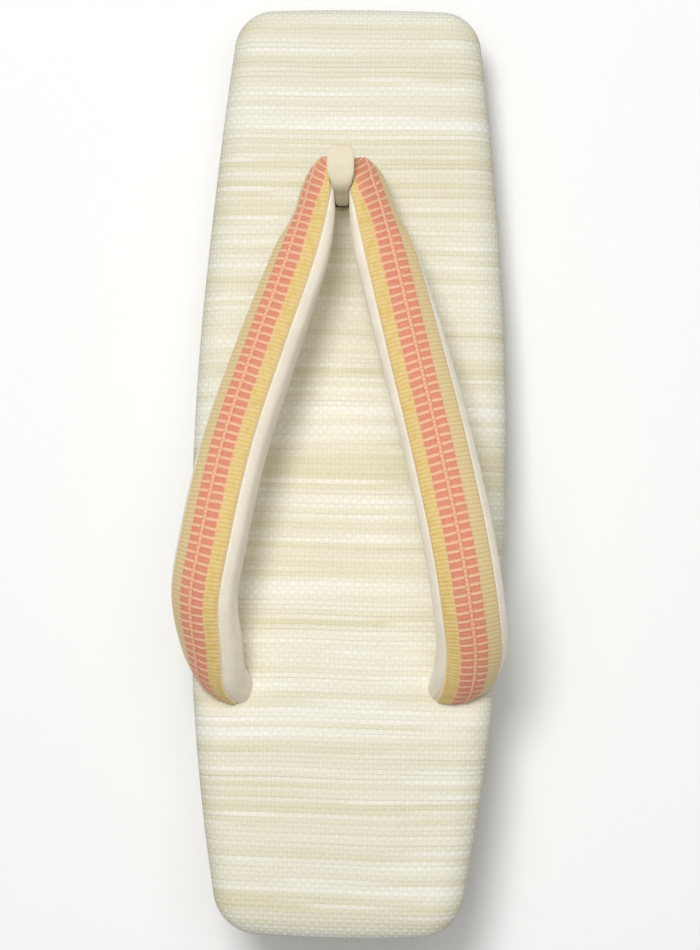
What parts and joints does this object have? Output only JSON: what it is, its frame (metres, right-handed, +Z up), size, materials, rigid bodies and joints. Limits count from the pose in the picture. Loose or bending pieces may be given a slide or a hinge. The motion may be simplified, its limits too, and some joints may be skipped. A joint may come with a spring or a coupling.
{
  "type": "zori sandal",
  "caption": "Wedge-soled zori sandal with a cloth-covered footbed and a padded V strap faced with woven braid, held by a toe loop; fits either foot.",
  "frame": {"origin": "on the floor under the middle of the sole's length and width", "axes": "+Y along the sole towards the toe, +Z up, +X to the right seen from above with the toe pointing away"},
  "size_m": [0.0835, 0.24, 0.0613],
  "materials": {
    "rubber": "matte crepe-like tread",
    "side_cloth": "plain-woven slub cloth",
    "top_cloth": "plain-woven slub cloth in cream with beige weft bands",
    "lining": "off-white nap like suede",
    "braid": "woven braid in coral, peach and yellow",
    "loop": "off-white nap like suede"
  },
  "bodies": {
    "root": {"outsole": "rubber", "sole_core": "side_cloth", "footbed": "top_cloth", "strap": "lining", "braid_left": "braid", "braid_right": "braid", "toe_loop": "loop"}
  },
  "joints": []
}
